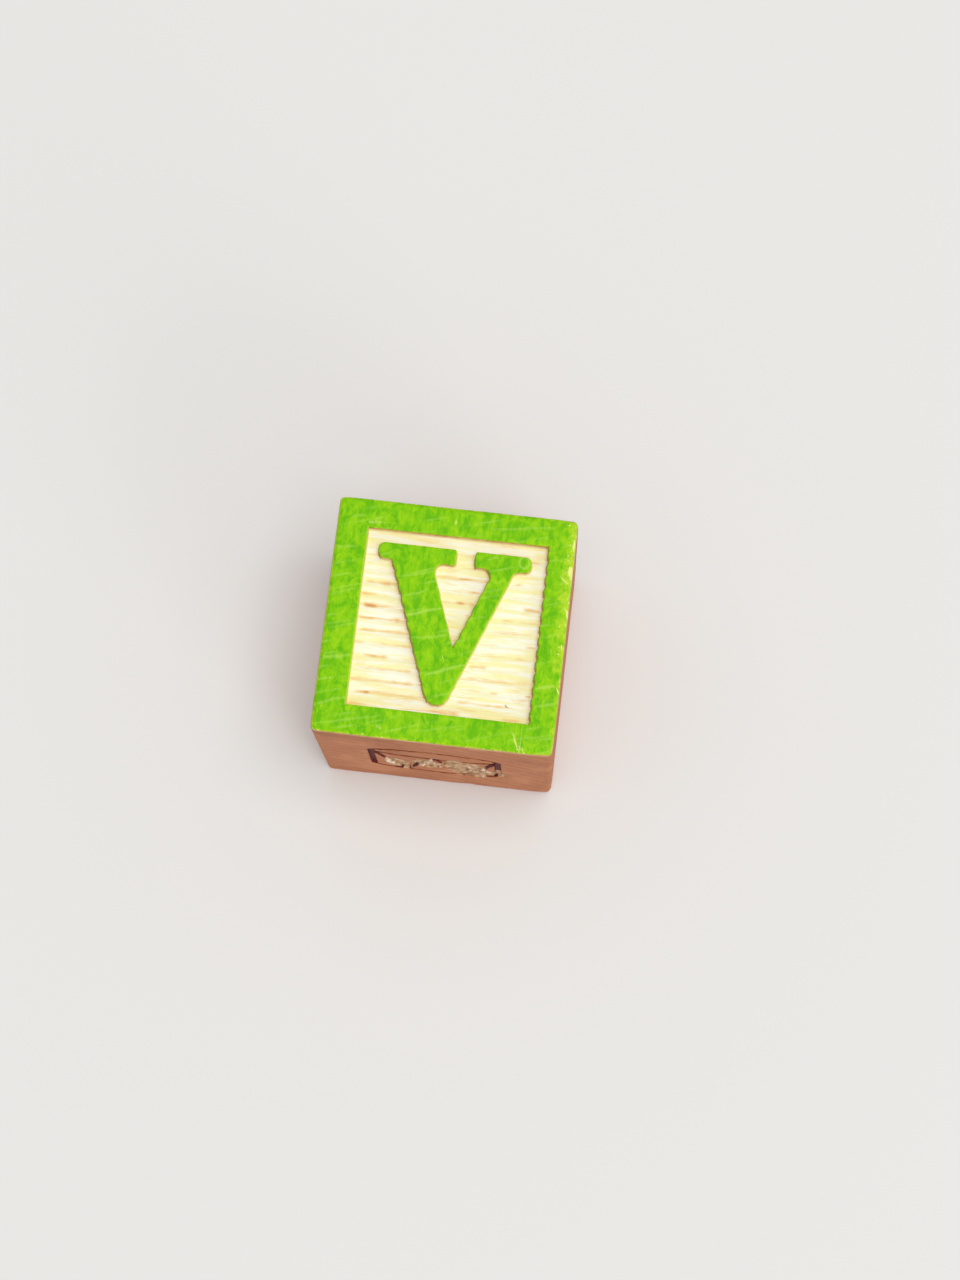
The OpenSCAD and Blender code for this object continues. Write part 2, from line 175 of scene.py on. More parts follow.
# Yellow scratches and rubbed spots in the paint:
SCRATCHES = [
    (9.8, -12.3, 10.6, -14.6, 0.12, 0.6), (10.9, -12.0, 10.7, -14.9, 0.1, 0.45),
    (10.6, -14.2, 11.4, -14.7, 0.14, 0.55), (-7.0, -13.4, -6.2, -13.9, 0.42, 0.36),
    (-1.6, -12.0, -2.0, -13.6, 0.12, 0.36), (-11.0, 12.1, -8.9, 11.9, 0.26, 0.4),
    (13.6, 7.9, 14.6, 6.6, 0.12, 0.6), (14.1, 4.0, 14.9, 2.9, 0.12, 0.6),
    (13.9, 10.0, 14.8, 9.2, 0.12, 0.5), (14.75, 12.3, 14.95, 11.1, 0.2, 1.0),
    (14.55, 8.8, 14.95, 7.1, 0.28, 1.1), (14.7, 3.4, 14.95, 1.9, 0.22, 1.0),
    (14.7, -0.8, 14.9, -1.4, 0.14, 0.8), (14.75, -6.5, 14.9, -7.4, 0.14, 0.7),
    (0.3, -3.9, 0.5, -5.0, 0.1, 0.5), (-1.1, -3.7, -0.9, -4.6, 0.09, 0.45),
    (2.0, -3.2, 2.4, -3.9, 0.1, 0.4), (13.2, -1.2, 13.6, -2.6, 0.1, 0.4),
    (-0.3, 13.3, 0.1, 12.9, 0.25, 0.45),
]
# Dark specks in the field:
FLECKS = [(8.3, -8.95, 8.9, -9.25, 0.11, 0.8), (8.6, -8.8, 8.7, -9.1, 0.08, 0.5),
          (8.0, -9.3, 8.2, -9.35, 0.07, 0.4)]
# Pale ring in the paint of the right serif: middle, radius, half width of its line and strength
KNOT_AT, KNOT_R, KNOT_LINE, KNOT_STRENGTH = (8.85, 8.85), 0.6, 0.13, 0.9

# Places on the front side where the pressing tore the grain: middle, half sizes and strength
CHIPS = [(4.0, -2.6, 3.0, 6.2, 1.0), (-5.0, -3.4, 1.7, 3.6, 0.82), (-0.9, -1.6, 2.1, 3.4, 0.97),
         (8.3, -4.6, 0.8, 1.8, 0.8)]
# Part of the front side that has closer points for them
TORN_LOW, TORN_HIGH = np.array([-7.6, -10.8]), np.array([9.6, 5.2])


# Noise

# Odd numbers that scatter the bits of a lattice point and its seed, and the bits that are kept
SCATTER = (0x8DA6B343, 0xD8163841, 0xCB1AB31F, 0x9E3779B1)
STIR = 0x45D9F3B
WORD = 0xFFFFFFFF


def smooth(x, low, high):
    """0 below low, 1 above high, smooth in between."""
    t = np.clip((x - low) / (high - low), 0.0, 1.0)
    return t * t * (3 - 2 * t)


def hashed(cell, seed):
    """A number from -1 to 1 for each lattice point."""
    h = seed * SCATTER[3]
    for i, factor in zip(cell, SCATTER):
        h = h + i.astype(np.int64) * factor
    h = h & WORD
    for _ in range(2):
        h = (((h >> 16) ^ h) * STIR) & WORD
    return ((h >> 16) ^ h) / 2 ** 31 - 1.0


def noise(x, y=0.0, z=0.0, seed=0):
    """Smooth value noise from -1 to 1."""
    place = np.stack(np.broadcast_arrays(*(np.asarray(axis, float) for axis in (x, y, z))))
    cell = np.floor(place)
    share = smooth(place - cell, 0, 1)
    total = np.zeros(place.shape[1:])
    for corner in np.ndindex(2, 2, 2):
        weight = math.prod(s if step else 1 - s for s, step in zip(share, corner))
        total += weight * hashed([i + step for i, step in zip(cell, corner)], seed)
    return total


def fractal(x, y=0.0, z=0.0, seed=0, octaves=3):
    """Several octaves of noise, about -1 to 1."""
    total, size, scale = 0.0, 1.0, 1.0
    for k in range(octaves):
        places = (np.asarray(axis) * scale for axis in (x, y, z))
        total = total + size * noise(*places, seed + 17 * k)
        size *= 0.5
        scale *= 2.03
    return total / 1.5


# Faces and outlines

def face_frame(face):
    """Axes, as columns, and origin of a face's coordinates."""
    if face == TOP:
        return np.eye(3), np.array([0.0, 0.0, SIDE])
    if face == BOTTOM:
        return np.diag([1.0, -1.0, -1.0]), np.zeros(3)
    c, s = (1, 0, -1, 0)[face], (0, 1, 0, -1)[face]
    turn = np.array([[c, -s, 0], [s, c, 0], [0, 0, 1]], float)
    stand = np.array([[1, 0, 0], [0, 0, -1], [0, 1, 0]], float)
    axes = turn @ stand
    return axes, axes @ np.array([0.0, 0.0, HALF]) + np.array([0.0, 0.0, HALF])


def to_world(face, points):
    axes, origin = face_frame(face)
    return np.asarray(points, float) @ axes.T + origin


def to_face(face, points):
    axes, origin = face_frame(face)
    return (np.asarray(points, float) - origin) @ axes


def face_loops(node, face):
    """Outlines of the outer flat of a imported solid, as seen from outside that face, largest first."""
    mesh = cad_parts[node].data
    mesh.calc_loop_triangles()
    points = to_face(face, np.array([v.co[:] for v in mesh.vertices]) / MM)
    tris = np.array([t.vertices[:] for t in mesh.loop_triangles])
    tris = tris[(points[tris][:, :, 2] > points[:, 2].max() - 0.02).all(axis=1)]
    places, index = np.unique(np.round(points[:, :2], 3), axis=0, return_inverse=True)
    tris = index.reshape(-1)[tris]
    a, b, c = (places[tris[:, i]] for i in range(3))
    area = cross(b - a, c - a)
    tris[area < 0] = tris[area < 0][:, ::-1]
    tris = tris[np.abs(area) > 1e-9]
    loops = [straightened(places[loop]) for loop in rims_of(tris.tolist())]
    return sorted(loops, key=lambda loop: -abs(loop_area(loop)))


def rims_of(tris):
    """Loops of the edges that have a triangle on one side only."""
    edges = set()
    for a, b, c in tris:
        edges.update(((a, b), (b, c), (c, a)))
    after = {}
    for a, b in edges:
        if (b, a) not in edges:
            after.setdefault(a, []).append(b)
    loops = []
    while after:
        start = min(after)
        loop, at = [start], after[start].pop()
        while at != start:
            loop.append(at)
            at = after[at].pop()
        loops.append(loop)
        after = {k: v for k, v in after.items() if v}
    return loops


def cross(a, b):
    return a[:, 0] * b[:, 1] - a[:, 1] * b[:, 0]


def loop_area(loop):
    return cross(loop, np.roll(loop, -1, axis=0)).sum() / 2


def straightened(loop):
    """The loop without the points that lie on a straight run."""
    behind, ahead = loop - np.roll(loop, 1, axis=0), np.roll(loop, -1, axis=0) - loop
    lengths = np.linalg.norm(behind, axis=1) * np.linalg.norm(ahead, axis=1)
    return loop[np.abs(cross(behind, ahead)) > 1e-4 * np.maximum(lengths, 1e-9)]


def resampled(loop, step):
    """The loop with its long runs divided into steps."""
    out = []
    for a, b in zip(loop, np.roll(loop, -1, axis=0)):
        n = max(1, math.ceil(np.linalg.norm(b - a) / step - 1e-6))
        out.extend(a + (b - a) * k / n for k in range(n))
    return np.array(out)


def lengths_of(vectors):
    """Length of each vector, and at least a hair, so that it can divide."""
    return np.maximum(np.linalg.norm(vectors, axis=1), 1e-9)


def normals_of(loop):
    """Left normal at each point of a loop, long enough to keep offset runs parallel."""
    ahead = np.roll(loop, -1, axis=0) - loop
    ahead /= np.linalg.norm(ahead, axis=1)[:, None]
    n_ahead = np.stack([-ahead[:, 1], ahead[:, 0]], axis=1)
    n_behind = np.roll(n_ahead, 1, axis=0)
    dot = (n_ahead * n_behind).sum(axis=1)
    return (n_ahead + n_behind) / np.maximum(1 + dot, 0.5)[:, None]


def looks(loop, side):
    """Direction in which the wall along a loop looks. side is 1 round a field, whose floor is to
    the left of its loop, and -1 round a glyph."""
    way = side * normals_of(loop)
    return way / lengths_of(way)[:, None]


def facing(loop, side, way):
    """How squarely a wall looks along +u, or along -u where way is -1."""
    return smooth(way * looks(loop, side)[:, 0], 0.3, 0.8)


def moved(loop, shift, loops):
    """The loop moved to its left by shift, or less where the loops leave less room."""
    shift = np.broadcast_to(np.asarray(shift, float), len(loop))
    way = normals_of(loop) * np.sign(shift)[:, None]
    length = lengths_of(way)
    way = way / length[:, None]
    gap = np.concatenate(loops)[None, :, :] - loop[:, None, :]
    ahead = (gap * way[:, None, :]).sum(axis=2)
    square = (gap * gap).sum(axis=2)
    room = np.where(ahead > 1e-5, square / np.maximum(2 * ahead, 1e-9), 1e9).min(axis=1)
    return loop + way * np.minimum(np.abs(shift) * length, 0.8 * room)[:, None]


def inside(points, loops, batch=4000):
    """Whether each point is inside an odd number of the loops."""
    if len(points) > batch:
        return np.concatenate([inside(points[:batch], loops), inside(points[batch:], loops)])
    x, y = points[:, 0][:, None], points[:, 1][:, None]
    odd = np.zeros(len(points), bool)
    for loop in loops:
        a, b = loop, np.roll(loop, -1, axis=0)
        crosses = (a[:, 1] > y) != (b[:, 1] > y)
        rise = np.where(b[:, 1] == a[:, 1], 1e-12, b[:, 1] - a[:, 1])
        at = a[:, 0] + (y - a[:, 1]) * (b[:, 0] - a[:, 0]) / rise
        odd ^= (crosses & (x < at)).sum(axis=1) % 2 == 1
    return odd


def distance(points, loops):
    """Distance from each point to the nearest of the loops."""
    best = np.full(len(points), 1e9)
    for loop in loops:
        for a, b in zip(loop, np.roll(loop, -1, axis=0)):
            run = b - a
            t = np.clip(((points - a) @ run) / max(run @ run, 1e-12), 0, 1)
            gap = points - a - t[:, None] * run
            best = np.minimum(best, (gap * gap).sum(axis=1))
    return np.sqrt(best)


def clear_of(points, loops, margin):
    """The points inside the loops that keep a margin from them."""
    points = points[inside(points, loops)]
    return points[distance(points, loops) > margin]


def grid(low, high, steps):
    """Points in rows, each other row moved by half a step."""
    u, v = (np.arange(a + step / 2, b, step) for a, b, step in zip(low, high, steps))
    uu, vv = np.meshgrid(u, v)
    uu = uu + (np.arange(len(v)) % 2)[:, None] * steps[0] / 2
    return np.stack([uu.ravel(), vv.ravel()], axis=1)


def flat_grid(steps):
    """Points all over the flat of a face."""
    return grid((-FLAT, -FLAT), (FLAT, FLAT), steps)


def within(tris, fences):
    """The triangles inside the fences, found by walking in from the hull. A step over a fence
    changes outside to inside, or back."""
    beside = {}
    for k, t in enumerate(tris):
        for i in range(3):
            beside.setdefault(frozenset((t[i], t[i - 1])), []).append(k)
    state = {both[0]: edge in fences for edge, both in beside.items() if len(both) == 1}
    waiting = list(state)
    while waiting:
        k = waiting.pop()
        t = tris[k]
        for i in range(3):
            edge = frozenset((t[i], t[i - 1]))
            for other in beside[edge]:
                if other not in state:
                    state[other] = state[k] != (edge in fences)
                    waiting.append(other)
    return [t for k, t in enumerate(tris) if state[k]]


border_loops = {face: face_loops(node, face) for face, node in BORDERS.items()}
glyph_loops = {face: face_loops(node, face) for face, node in GLYPHS.items()}
# Half the width of the flat of a face, and the radius of the edges round it
FLAT = float(np.abs(border_loops[TOP][0]).max())
EDGE_R = HALF - FLAT


def field_loop(face, step):
    """Outline of a field, with the field to its left."""
    loop = resampled(border_loops[face][1], step)
    return loop if loop_area(loop) > 0 else loop[::-1]


def picture_loops(face):
    return [resampled(loop, PICTURE_STEP) for loop in face_loops(PICTURES[face], face)]


# Sheets, which are meshes built row by row, with a second skin under them in a coat

def unique(ids):
    return list(dict.fromkeys(int(i) for i in ids))


def raised(places, w):
    """Points over places on a face, at one height or at heights of their own."""
    return np.column_stack([places, np.broadcast_to(w, len(places))])


def linked(name, data):
    """A new object in the scene."""
    made = bpy.data.objects.new(name, data)
    bpy.context.scene.collection.objects.link(made)
    return made


def mesh_object(name, points, faces, materials):
    mesh = bpy.data.meshes.new(name)
    mesh.from_pydata((points * MM).tolist(), [], faces)
    for material in materials:
        mesh.materials.append(material)
    return linked(name, mesh)


class Sheet:
    """Points of one piece with their faces. Each point has a place in the world and, in a coat,
    the place under it where the coat ends."""

    def __init__(self, *attributes):
        self.points, self.under, self.faces, self.kinds = [], [], [], []
        self.values = {name: [] for name in attributes}
        self.flat = {}

    def add(self, face, uvw, under=None, **values):
        """Adds points in a face's coordinates, and gives their numbers."""
        uvw = np.asarray(uvw, float)
        first = sum(len(p) for p in self.points)
        self.points.append(to_world(face, uvw))
        self.under.append(to_world(face, uvw if under is None else under))
        for name in self.values:
            self.values[name].append(np.broadcast_to(values.get(name, 0.0), len(uvw)).astype(float))
        ids = np.arange(first, first + len(uvw))
        self.flat.update(zip(ids.tolist(), uvw[:, :2].tolist()))
        return ids

    def add_ring(self, face, uvw, under, **values):
        """Adds a row round a face, with one point for all those in the same place."""
        keys = [tuple(p) for p in np.round(uvw[:, :2], 5).tolist()]
        first = {}
        for i, key in enumerate(keys):
            first.setdefault(key, i)
        keep = list(first.values())
        ids = self.add(face, uvw[keep], under[keep], **{k: v[keep] for k, v in values.items()})
        number = dict(zip(first, ids))
        return np.array([number[key] for key in keys])

    def places(self, loops):
        """The outlines that loops of numbers stand for."""
        return [np.array([self.flat[i] for i in unique(loop)]) for loop in loops]

    def strip(self, row, next_row, kind=0, closed=True):
        """Faces between two rows of as many points. Points that repeat make triangles."""
        n = len(row)
        for i in range(n if closed else n - 1):
            j = (i + 1) % n
            corners = unique((row[i], row[j], next_row[j], next_row[i]))
            if len(corners) > 2:
                self.faces.append(tuple(corners))
                self.kinds.append(kind)

    def strips(self, rows, kind=0, side=1):
        """Faces between all rows, which look the other way where side is -1."""
        for a, b in zip(rows[:-1], rows[1:]):
            first, second = (a, b) if side > 0 else (b, a)
            self.strip(first, second, kind)

    def fill(self, loops, free=(), kind=0):
        """Triangles inside an odd number of the loops, through the free points."""
        used, edges = [], []
        for loop in loops:
            loop = unique(loop)
            first = len(used)
            used.extend(loop)
            edges.extend((first + i, first + (i + 1) % len(loop)) for i in range(len(loop)))
        used.extend(int(i) for i in free)
        places = [Vector(self.flat[i]) for i in used]
        _, lines, tris, origin, line_origin, _ = delaunay_2d_cdt(places, edges, [], 0, 1e-7, True)
        if any(not o for o in origin):
            raise ValueError("two outlines of a sheet cross")
        number = [used[o[0]] for o in origin]
        fences = {frozenset(line) for line, o in zip(lines, line_origin) if o}
        for t in within(tris, fences):
            self.faces.append(tuple(number[i] for i in t))
            self.kinds.append(kind)

    def build(self, name, materials, shell=False):
        """Makes the object. A shell gets its under side, and a rim round its open edges."""
        points, under = np.concatenate(self.points), np.concatenate(self.under)
        faces, kinds = list(self.faces), list(self.kinds)
        values = {k: np.concatenate(v) for k, v in self.values.items()}
        if shell:
            sides = {}
            for f, kind in zip(self.faces, self.kinds):
                for a, b in zip(f, f[1:] + f[:1]):
                    sides[(a, b)] = kind
            n = len(points)
            faces += [tuple(i + n for i in reversed(f)) for f in self.faces]
            kinds += self.kinds
            for (a, b), kind in sides.items():
                if (b, a) not in sides:
                    faces.append((b, a, a + n, b + n))
                    kinds.append(kind)
            points = np.concatenate([points, under])
            values = {k: np.concatenate([v, v]) for k, v in values.items()}
        used = sorted({i for f in faces for i in f})
        number = {old: new for new, old in enumerate(used)}
        faces = [tuple(number[i] for i in f) for f in faces]
        piece = mesh_object(name, worn(points[used]), faces, materials)
        mesh = piece.data
        mesh.polygons.foreach_set("material_index", kinds)
        mesh.polygons.foreach_set("use_smooth", [True] * len(faces))
        for k, v in values.items():
            attribute = mesh.attributes.new(k, "FLOAT", "POINT")
            attribute.data.foreach_set("value", v[used].astype(np.float32))
        mesh.update()
        return piece


def worn(points):
    """Points with the edges and corners of the block worn in a little, coats and wood alike."""
    p = points - np.array([0, 0, HALF])
    size = np.sort(np.abs(p), axis=1)
    near_edge = smooth(size[:, 1], HALF - EDGE_WEAR, HALF - 0.1)
    near_corner = smooth(size[:, 0], HALF - CORNER_WEAR, HALF - 0.2) * near_edge
    rub = 0.5 + 0.5 * fractal(*(p * 0.28).T, seed=3)
    dent = smooth(noise(*(p * 0.9).T, seed=9), 0.45, 0.95)
    right, back = smooth(p[:, 0], -3, 3), smooth(p[:, 1], -3, 3)
    corner = FRONT_RIGHT_DEPTH * right * (1 - back) + BACK_RIGHT_DEPTH * right * back
    corner += LEFT_DEPTH * (1 - right)
    depth = near_edge * (RUB_DEPTH * rub + DENT_DEPTH * dent) + near_corner * corner
    away = p - np.clip(p, -FLAT, FLAT)
    reach = lengths_of(away)
    return points - away / reach[:, None] * (depth * smooth(reach, 0.02, 0.3))[:, None]


# What the cutter left in the fields

def groove_at(face, u, v):
    """Number of the nearest groove, and how far the point lies above its middle."""
    low = border_loops[face][1][:, 1].min() + GROOVE_START
    wander = GROOVE_WANDER * noise(u * 0.16, v * 0.2, seed=35 if face == TOP else 21)
    k = np.clip(np.round((v + wander - low) / PITCH), 0, GROOVES - 1)
    return k, v + wander - low - k * PITCH


def floor_height(face, u, v):
    """Height of the cut floor of a field."""
    k, off = groove_at(face, u, v)
    bowl = np.clip(1 - (off / GROOVE_HALF) ** 2, 0, 1) ** 1.5
    depth = GROOVE_DEPTH * (0.62 + 0.38 * noise(u * 0.22, k * 3.7, seed=31))
    crown = CROWN_H * np.cos(off / PITCH * 2 * math.pi)
    fibres = 0.018 * fractal(u * 0.9, v * 7, seed=35) + 0.01 * noise(u * 5, v * 5, seed=37)
    strip = border_loops[face][1][:, 1].max() - PLAIN_STRIP
    return FLOOR_W - (bowl * depth + crown) * (1 - smooth(v, strip, strip + 0.5)) + fibres


def streak_list(face):
    """The streaks of a field. Those of the number's field are drawn by lot."""
    if face == TOP:
        return STREAKS
    lots = np.random.default_rng(STREAK_SEED)
    drawn = []
    for _ in range(STREAK_LOTS):
        start = lots.uniform(-11, 10)
        drawn.append((int(lots.integers(0, GROOVES)), start, start + lots.uniform(1.2, 4.2),
                      lots.uniform(0.35, 0.95)))
    return drawn


def streaks(face, u, v):
    """How brown the floor is: torn and scorched lines of uneven length in the grooves."""
    k, off = groove_at(face, u, v)
    on_top = face == TOP
    base = 0.25 - 0.1 * smooth(u, 1, 6)
    line = np.clip(noise(u * 0.3 + k * 7.7, k * 5.1, seed=41 + on_top) * 0.38 + base, 0, 1)
    for number, start, end, strength in streak_list(face):
        ends = smooth(u, start - 0.3, start + 0.9) * (1 - smooth(u, end - 0.9, end + 0.3))
        uneven = 0.9 + 0.4 * noise(u * 1.3, number * 2.9, seed=45)
        line = np.maximum(line, (k == number) * ends * strength * uneven)
    width = 0.2 + 0.07 * noise(u * 0.5, k * 2.1, seed=46)
    line = line * np.exp(-((off + 0.04) / width) ** 2)
    short = smooth(noise(u * 0.3, v * 2.2, seed=47 + on_top), 0.4, 0.95) * 0.25
    return np.clip(line + short, 0, 1)


def scorch_and_shade(points, outlines):
    """How scorched the floor is beside walls that look to the left: a scorch mark with painted shade in
    it, on the side of those walls away from the light.
    """
    mark = np.zeros(len(points))
    wide = 0.16 + 0.1 * noise(points[:, 0] * 1.1, points[:, 1] * 1.9, seed=49)
    for loop, side in outlines:
        left = loop[-looks(loop, side)[:, 0] > 0.45]
        if len(left):
            gap = np.sqrt(((points[:, None, :] - left[None, :, :]) ** 2).sum(axis=2)).min(axis=1)
            mark = np.maximum(mark, 1 - smooth(gap, 0.4 * wide, 1.5 * wide))
    return mark


def bitten(loop):
    """A glyph's outline, a little uneven, with bites at the grooves where it looks to the left."""
    way = looks(loop, -1)
    _, off = groove_at(TOP, *loop.T)
    bite = smooth(-way[:, 0], 0.5, 0.85) * np.clip(1 - (off / 0.5) ** 2, 0, 1)
    serif = smooth(loop[:, 1], 6.2, 7.2)
    depth = BITE_DEPTH * (0.75 + 0.55 * noise(loop[:, 1] * 0.7, loop[:, 0] * 0.2, seed=55))
    depth = depth * (1 - 0.7 * serif)
    uneven = GLYPH_UNEVEN * (1 + noise(*(loop * 1.2).T, seed=57))
    return loop - way * (bite * depth + uneven)[:, None]


# Marks in the paint, and where it ends

def marked(points, lines, wobble=0.12):
    """How strongly each point is marked by a set of lines."""
    mark = np.zeros(len(points))
    shake = np.column_stack([noise(*(points * 0.8).T, seed=seed) for seed in (51, 52)])
    shaken = points + wobble * shake
    for x0, y0, x1, y1, width, strength in lines:
        start, run = np.array([x0, y0]), np.array([x1 - x0, y1 - y0])
        t = np.clip(((shaken - start) @ run) / (run @ run), 0, 1)
        gap = np.linalg.norm(shaken - start - t[:, None] * run, axis=1)
        taper = 0.45 + 0.75 * np.sin(np.pi * np.clip(t, 0.02, 0.98))
        mark = np.maximum(mark, strength * np.exp(-(gap / (width * taper)) ** 2))
    return mark


def paint_marks(face, points):
    """Saw lines and scratches at points of a painted face. The number face has the same kind,
    turned half round."""
    if face == BOTTOM:
        points = -points
    line = marked(points, SAW_LINES)
    ring = np.linalg.norm((points - np.array(KNOT_AT)) * (1, 0.85), axis=1)
    line = np.maximum(line, KNOT_STRENGTH * np.exp(-((ring - KNOT_R) / KNOT_LINE) ** 2))
    return {"line": line, "scratch": marked(points, SCRATCHES, 0.25)}


def rubbed(points):
    """Wear along the right border, most beside its upper part."""
    return smooth(points[:, 0], FLAT - 1.6, FLAT + 0.1) * (0.35 + 0.65 * smooth(points[:, 1], -9, 1))


def paint_height(u, v):
    """Relief of the paint over the sanded grain, which runs along v."""
    return -PAINT_DIP + PAINT_RELIEF * fractal(u * 2.2, v * 0.35, seed=151)


def rim():
    """Places round the flat of a face, with the direction straight out of it."""
    bases, outs = [], []
    for out in np.array([(0, -1), (1, 0), (0, 1), (-1, 0)], float):
        way = np.array([-out[1], out[0]])
        start = (out - way) * FLAT
        for i in range(STEPS_SIDE + 1):
            bases.append(start + way * 2 * FLAT * i / STEPS_SIDE)
            outs.append(out)
        for i in range(1, STEPS_CORNER):
            a = math.pi / 2 * i / STEPS_CORNER
            bases.append(start + way * 2 * FLAT)
            outs.append(out * math.cos(a) + way * math.sin(a))
    return np.array(bases), np.array(outs)


RIM_BASE, RIM_OUT = rim()


def round_noise(scale, seed):
    """Noise along the rim that meets itself after one turn."""
    outer = RIM_BASE + RIM_OUT * EDGE_R
    return noise(*(outer * scale).T, 0.5, seed=seed)


def paint_end(face):
    """Angle down the rounded edge at which the paint stops, for each place on the rim."""
    seed = 60 if face == TOP else 70
    ragged = 6 * round_noise(0.5, seed) + 4 * round_noise(1.9, seed + 1)
    end = PAINT_END + ragged + PAINT_END_RIGHT * (RIM_OUT[:, 0] > 0.7)
    return np.radians(np.clip(end, *PAINT_END_LIMITS))


def rim_row(angle, inset):
    """One row on the rounded edge, at an angle down it and an inset below its surface."""
    angle, inset = np.broadcast_to(angle, len(RIM_BASE)), np.broadcast_to(inset, len(RIM_BASE))
    out = (EDGE_R - inset) * np.sin(angle)
    drop = (EDGE_R - inset) * np.cos(angle) - EDGE_R
    return np.column_stack([RIM_BASE + RIM_OUT * out[:, None], drop])


def sanded_and_highlit_rim():
    """How pale the rounded edge is: sanded all round, with a painted highlight that makes it paler on the
    right side.
    """
    right = smooth(RIM_OUT[:, 0], 0.3, 0.9)
    return np.clip(0.45 + 0.5 * right + 0.35 * round_noise(0.8, 66), 0, 1)


# The wood

def build_wood():
    body = Sheet("streak", "torn", "depth", "brown", "tint", "sanded")
    seams = {face: wood_face(body, face) for face in (TOP, BOTTOM)}
    build_sides(body, seams)
    return body


def wood_face(body, face):
    """A painted face's wood: rounded edge, lands, walls and cut floor. Gives its outermost row."""
    rows = wood_edge(body, face)
    field = field_loop(face, FIELD_STEP)
    glyphs = [bitten(resampled(loop, GLYPH_STEP)) for loop in glyph_loops[face]]
    field_top, field_foot = wall(body, face, field, [field], 1, 81)
    walls = [wall(body, face, glyph, glyphs, -1, 85 + k) for k, glyph in enumerate(glyphs)]
    tops, feet = zip(*walls)
    body.fill([rows[0], field_top], kind=WOOD_WALL)
    body.fill(tops, kind=WOOD_WALL)
    feet = [field_foot, *feet]
    loops = body.places(feet)
    free = clear_of(grid(loops[0].min(axis=0), loops[0].max(axis=0), FLOOR_STEPS), loops, FLOOR_MARGIN)
    # The floor beside the walls that look left: a scorch mark with painted shade in it
    brown = scorch_and_shade(free, [(field, 1)] + [(glyph, -1) for glyph in glyphs])
    fleck = marked(free, FLECKS) if face == TOP else 0.0
    ids = body.add(face, raised(free, floor_height(face, *free.T)), streak=streaks(face, *free.T),
                   depth=1.0, torn=fleck, brown=brown)
    body.fill(feet, ids, kind=WOOD_FIELD)
    return rows[-1]


def wood_edge(body, face):
    """Rounded edge of the wood, which steps out to the block's own surface where the paint ends."""
    end = paint_end(face)
    rows = []
    for j in range(ARRIS_ROWS + 1):
        angle = math.pi / 2 * j / ARRIS_ROWS
        points = rim_row(angle, COAT_T * (1 - smooth(angle, end - 0.02, end + 0.16)))
        rows.append(body.add_ring(face, points, points, sanded=sanded_and_highlit_rim() * (j > 0)))
    body.strips(rows, WOOD_SIDE, -1)
    return rows


def wall(body, face, loop, loops, side, seed):
    """Wall from the land down to the cut floor. Gives its first and its last row."""
    rows = []
    for k, (shift, height) in enumerate(WALL_ROWS):
        rough = 0.0
        if WALL_ROUGH <= k < WALL_FOOT:
            rough = WALL_RELIEF * noise(*(loop * 1.4).T, height * 1.2, seed=seed) - WALL_BACK
        place = moved(loop, side * (shift + rough), loops)
        w, streak = height, 0.0
        if height is None:
            w = floor_height(face, *place.T) + FOOT_RISE * (k == WALL_FOOT)
            streak = streaks(face, *place.T)
        # Walls that look left are marked for painted shade, and walls that look right for painted light
        rows.append(body.add(face, raised(place, w), streak=streak, depth=min(1.0, k / WALL_FOOT),
                             brown=facing(loop, side, -1), tint=facing(loop, side, 1)))
    body.strips(rows, WOOD_WALL, side)
    return rows[0], rows[-1]


def side_height(face, u, v):
    """Height and tornness of the bare land of a side."""
    torn = np.zeros(np.shape(u))
    if face == FRONT:
        ragged = 0.3 * fractal(u * 0.55, v * 0.45, seed=111) + 0.12 * noise(u * 2.4, v * 2.0, seed=112)
        for cu, cv, ru, rv, deep in CHIPS:
            gap = np.sqrt(((u - cu - 0.12 * (cv - v)) / ru) ** 2 + ((v - cv) / rv) ** 2) + ragged
            torn = np.maximum(torn, smooth(-gap, -1.06, -0.84) * deep)
    rough = 0.5 + 0.5 * fractal(u * 0.9, v * 0.7, seed=113, octaves=4)
    height = LAND_RELIEF * (fractal(u * 0.5, v * 0.5, seed=101 + face) - 1)
    return height - torn * (TORN_DEPTH + TORN_ROUGH * rough), torn


def side_grid(face):
    """Points over a bare side, closer together where the front side is torn."""
    points = flat_grid(SIDE_STEPS)
    if face == FRONT:
        middle, reach = (TORN_LOW + TORN_HIGH) / 2, (TORN_HIGH - TORN_LOW) / 2 + SIDE_MARGIN
        points = points[(np.abs(points - middle) > reach).any(axis=1)]
        points = np.concatenate([points, grid(TORN_LOW, TORN_HIGH, TORN_STEPS)])
    return points


def build_sides(body, seams):
    """The four bare sides between the two painted faces, with their pressed pictures."""
    heights = np.linspace(EDGE_R, SIDE - EDGE_R, SIDE_LEVELS + 1)[1:-1] - SIDE
    top_ring = seams[TOP]
    bottom_ring = matched(body, seams[BOTTOM], top_ring)
    n = len(top_ring)
    columns = {}
    # Upright rows of points wherever a rounded edge has one
    for side in range(4):
        corner = [(side * PER_SIDE + STEPS_SIDE + i) % n for i in range(STEPS_CORNER + 1)]
        for at in corner:
            place = np.tile(RIM_BASE[at] + RIM_OUT[at] * EDGE_R, (len(heights), 1))
            ids = body.add(TOP, raised(place, heights))
            columns[at] = np.concatenate([[bottom_ring[at]], ids, [top_ring[at]]])
        for a, b in zip(corner[:-1], corner[1:]):
            body.strip(columns[b], columns[a], WOOD_SIDE, closed=False)
    for face in (FRONT, RIGHT, BACK, LEFT):
        run = [(face * PER_SIDE + i) % n for i in range(STEPS_SIDE + 1)]
        left, right = columns[run[0]][1:-1], columns[run[-1]][1:-1]
        bare_side(body, face, np.concatenate([bottom_ring[run], right, top_ring[run][::-1], left[::-1]]))


